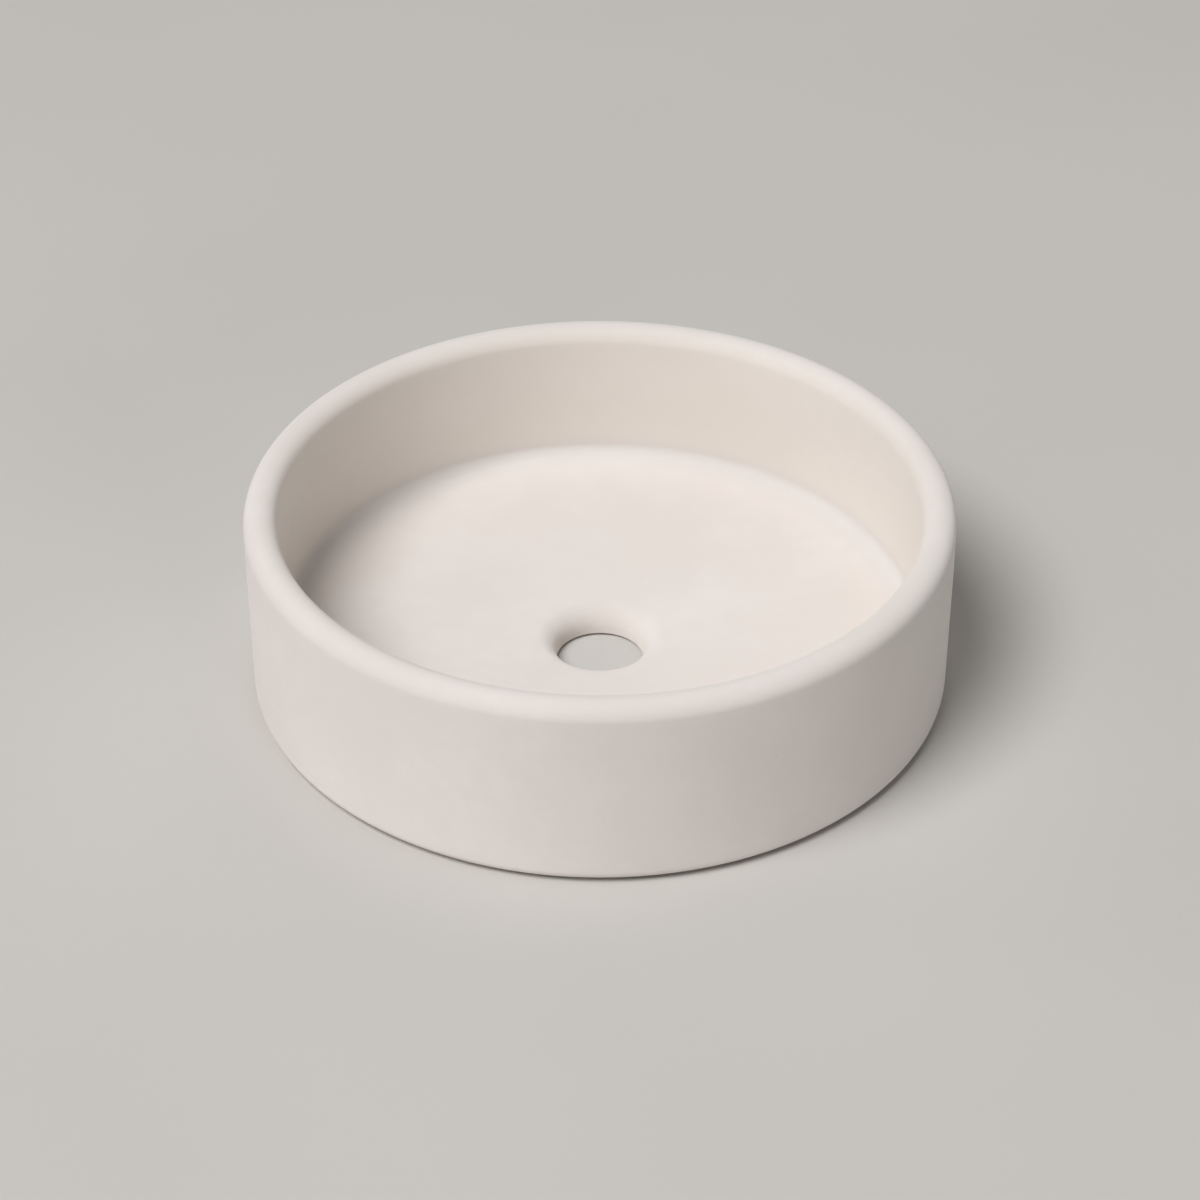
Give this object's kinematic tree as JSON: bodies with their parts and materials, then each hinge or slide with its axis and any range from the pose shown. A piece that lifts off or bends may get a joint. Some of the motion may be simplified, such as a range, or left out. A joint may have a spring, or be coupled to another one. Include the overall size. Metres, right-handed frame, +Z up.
{
  "type": "concrete basin",
  "caption": "Round off-white concrete vessel basin with an upright wall, a full round rim, a floor that falls to an open flared waste hole, and soft pads under the base.",
  "frame": {"origin": "centre of the basin, on the surface that its pads stand on", "axes": "+Z up along the axis of the waste hole; the basin is round, so +X and +Y are any two level directions at right angles"},
  "size_m": [0.3799, 0.38, 0.11],
  "materials": {
    "concrete": "smooth cast concrete, matt, sealed",
    "cage_wire": "drawn stainless wire",
    "base_pad": "soft grey silicone"
  },
  "bodies": {
    "root": {"basin_casting": "concrete", "rim_hoop": "cage_wire", "foot_hoop": "cage_wire", "drain_hoop": "cage_wire", "cage_bar_01": "cage_wire", "cage_bar_02": "cage_wire", "cage_bar_03": "cage_wire", "cage_bar_04": "cage_wire", "cage_bar_05": "cage_wire", "cage_bar_06": "cage_wire", "cage_bar_07": "cage_wire", "cage_bar_08": "cage_wire", "cage_bar_09": "cage_wire", "cage_bar_10": "cage_wire", "cage_bar_11": "cage_wire", "cage_bar_12": "cage_wire", "base_pad_1": "base_pad", "base_pad_2": "base_pad", "base_pad_3": "base_pad", "base_pad_4": "base_pad"}
  },
  "joints": []
}
